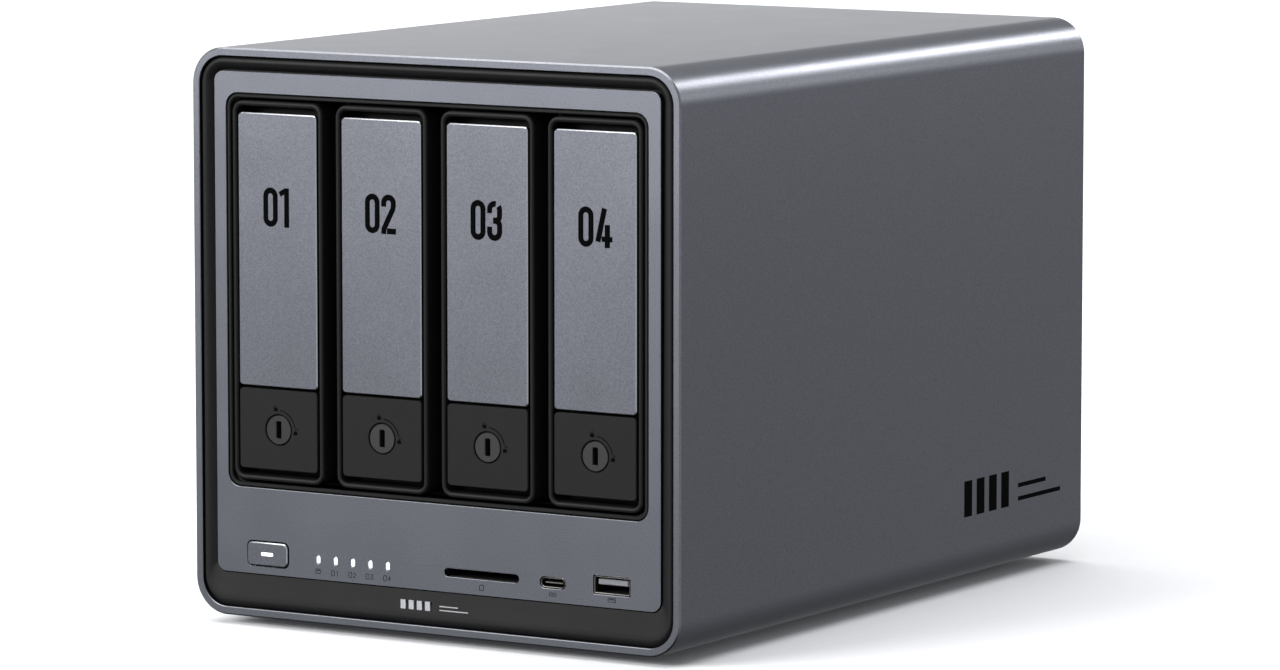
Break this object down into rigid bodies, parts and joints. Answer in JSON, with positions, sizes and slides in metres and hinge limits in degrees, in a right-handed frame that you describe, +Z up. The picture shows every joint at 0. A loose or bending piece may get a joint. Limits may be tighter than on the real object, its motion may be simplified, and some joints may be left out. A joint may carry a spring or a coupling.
{
  "type": "nas enclosure",
  "caption": "Desktop network storage box: aluminium sleeve, front plate with ports, upright drive trays with pull-out levers and locks, rear fan and sockets.",
  "frame": {"origin": "on the floor under the centre of the case", "axes": "+X to the right seen from the front, -Y out of the front, +Z up"},
  "size_m": [0.178, 0.257, 0.181],
  "materials": {
    "sleeve_aluminium": "fine bead-blasted, grey anodised",
    "plate_aluminium": "fine bead-blasted, grey anodised",
    "bezel_plastic": "black, fine texture",
    "tray_plastic": "black, fine texture",
    "lock_plastic": "black, smooth",
    "button_aluminium": "anodised with a bright chamfer",
    "light_clear": "frosted clear",
    "board": "solder mask",
    "socket_steel": "nickel plated",
    "cage_steel": "zinc plated sheet",
    "rear_plastic": "black, fine texture",
    "filter_mesh": "black mesh in a moulded frame",
    "fan_plastic": "black, moulded",
    "heatsink_aluminium": "extruded, plain",
    "foot_rubber": "matt",
    "cover_steel": "grey paint"
  },
  "bodies": {
    "case": {"outer_sleeve": "sleeve_aluminium", "bottom_cover": "cover_steel", "front_bezel": "bezel_plastic", "front_plate": "plate_aluminium", "status_light_pipes": "light_clear", "front_io_board": "board", "card_reader": "socket_steel", "usb_c_port": "socket_steel", "usb_a_port": "socket_steel", "cage_side_left": "cage_steel", "cage_side_right": "cage_steel", "cage_floor": "cage_steel", "cage_roof": "cage_steel", "bay_divider_1": "cage_steel", "bay_divider_2": "cage_steel", "bay_divider_3": "cage_steel", "backplane_board": "board", "mainboard": "board", "processor_heatsink": "heatsink_aluminium", "memory_module": "board", "dc_inlet": "rear_plastic", "network_ports": "socket_steel", "rear_usb_ports": "socket_steel", "video_port": "socket_steel", "fan_frame": "fan_plastic", "rear_panel": "rear_plastic", "foot_1": "foot_rubber", "foot_2": "foot_rubber", "foot_3": "foot_rubber", "foot_4": "foot_rubber"},
    "power_key": {"power_button": "button_aluminium", "power_button_light": "light_clear"},
    "reset_key": {"reset_button": "rear_plastic"},
    "fan_wheel": {"fan_rotor": "fan_plastic"},
    "dust_filter": {"rear_filter": "filter_mesh"},
    "tray_1": {"tray_1_frame": "tray_plastic", "tray_1_drive_clip": "tray_plastic"},
    "tray_1_lever": {"tray_1_handle": "tray_plastic", "tray_1_handle_plate": "plate_aluminium"},
    "tray_1_latch": {"tray_1_latch_button": "tray_plastic"},
    "tray_1_lock_barrel": {"tray_1_lock": "lock_plastic"},
    "tray_2": {"tray_2_frame": "tray_plastic", "tray_2_drive_clip": "tray_plastic"},
    "tray_2_lever": {"tray_2_handle": "tray_plastic", "tray_2_handle_plate": "plate_aluminium"},
    "tray_2_latch": {"tray_2_latch_button": "tray_plastic"},
    "tray_2_lock_barrel": {"tray_2_lock": "lock_plastic"},
    "tray_3": {"tray_3_frame": "tray_plastic", "tray_3_drive_clip": "tray_plastic"},
    "tray_3_lever": {"tray_3_handle": "tray_plastic", "tray_3_handle_plate": "plate_aluminium"},
    "tray_3_latch": {"tray_3_latch_button": "tray_plastic"},
    "tray_3_lock_barrel": {"tray_3_lock": "lock_plastic"},
    "tray_4": {"tray_4_frame": "tray_plastic", "tray_4_drive_clip": "tray_plastic"},
    "tray_4_lever": {"tray_4_handle": "tray_plastic", "tray_4_handle_plate": "plate_aluminium"},
    "tray_4_latch": {"tray_4_latch_button": "tray_plastic"},
    "tray_4_lock_barrel": {"tray_4_lock": "lock_plastic"}
  },
  "joints": [
    {"name": "tray_1_slide", "type": "slide", "parent": "case", "child": "tray_1", "axis": [0, -1, 0], "range_m": [0, 0.165]},
    {"name": "tray_1_lever_hinge", "type": "hinge", "parent": "tray_1", "child": "tray_1_lever", "pos_m": [-0.05805, -0.1245, 0.1575], "axis": [-1, 0, 0], "range_deg": [0, 55]},
    {"name": "tray_1_latch_press", "type": "slide", "parent": "tray_1", "child": "tray_1_latch", "axis": [0, 1, 0], "range_m": [0, 0.0015], "stiffness_N_per_m": 500, "springref_m": -0.0005},
    {"name": "tray_1_lock_turn", "type": "hinge", "parent": "tray_1_latch", "child": "tray_1_lock_barrel", "pos_m": [-0.05805, -0.125, 0.0624], "axis": [0, 1, 0], "range_deg": [0, 90]},
    {"name": "tray_2_slide", "type": "slide", "parent": "case", "child": "tray_2", "axis": [0, -1, 0], "range_m": [0, 0.165]},
    {"name": "tray_2_lever_hinge", "type": "hinge", "parent": "tray_2", "child": "tray_2_lever", "pos_m": [-0.01935, -0.1245, 0.1575], "axis": [-1, 0, 0], "range_deg": [0, 55]},
    {"name": "tray_2_latch_press", "type": "slide", "parent": "tray_2", "child": "tray_2_latch", "axis": [0, 1, 0], "range_m": [0, 0.0015], "stiffness_N_per_m": 500, "springref_m": -0.0005},
    {"name": "tray_2_lock_turn", "type": "hinge", "parent": "tray_2_latch", "child": "tray_2_lock_barrel", "pos_m": [-0.01935, -0.125, 0.0624], "axis": [0, 1, 0], "range_deg": [0, 90]},
    {"name": "tray_3_slide", "type": "slide", "parent": "case", "child": "tray_3", "axis": [0, -1, 0], "range_m": [0, 0.165]},
    {"name": "tray_3_lever_hinge", "type": "hinge", "parent": "tray_3", "child": "tray_3_lever", "pos_m": [0.01935, -0.1245, 0.1575], "axis": [-1, 0, 0], "range_deg": [0, 55]},
    {"name": "tray_3_latch_press", "type": "slide", "parent": "tray_3", "child": "tray_3_latch", "axis": [0, 1, 0], "range_m": [0, 0.0015], "stiffness_N_per_m": 500, "springref_m": -0.0005},
    {"name": "tray_3_lock_turn", "type": "hinge", "parent": "tray_3_latch", "child": "tray_3_lock_barrel", "pos_m": [0.01935, -0.125, 0.0624], "axis": [0, 1, 0], "range_deg": [0, 90]},
    {"name": "tray_4_slide", "type": "slide", "parent": "case", "child": "tray_4", "axis": [0, -1, 0], "range_m": [0, 0.165]},
    {"name": "tray_4_lever_hinge", "type": "hinge", "parent": "tray_4", "child": "tray_4_lever", "pos_m": [0.05805, -0.1245, 0.1575], "axis": [-1, 0, 0], "range_deg": [0, 55]},
    {"name": "tray_4_latch_press", "type": "slide", "parent": "tray_4", "child": "tray_4_latch", "axis": [0, 1, 0], "range_m": [0, 0.0015], "stiffness_N_per_m": 500, "springref_m": -0.0005},
    {"name": "tray_4_lock_turn", "type": "hinge", "parent": "tray_4_latch", "child": "tray_4_lock_barrel", "pos_m": [0.05805, -0.125, 0.0624], "axis": [0, 1, 0], "range_deg": [0, 90]},
    {"name": "power_press", "type": "slide", "parent": "case", "child": "power_key", "axis": [0, 1, 0], "range_m": [0, 0.0008], "stiffness_N_per_m": 500, "springref_m": -0.0005},
    {"name": "reset_press", "type": "slide", "parent": "case", "child": "reset_key", "axis": [0, -1, 0], "range_m": [0, 0.0004], "stiffness_N_per_m": 500, "springref_m": -0.0005},
    {"name": "fan_spin", "type": "hinge", "parent": "case", "child": "fan_wheel", "pos_m": [0, 0.10875, 0.106], "axis": [0, 1, 0], "continuous": true},
    {"name": "filter_pull", "type": "slide", "parent": "case", "child": "dust_filter", "axis": [0, 1, 0], "range_m": [0, 0.03]}
  ]
}
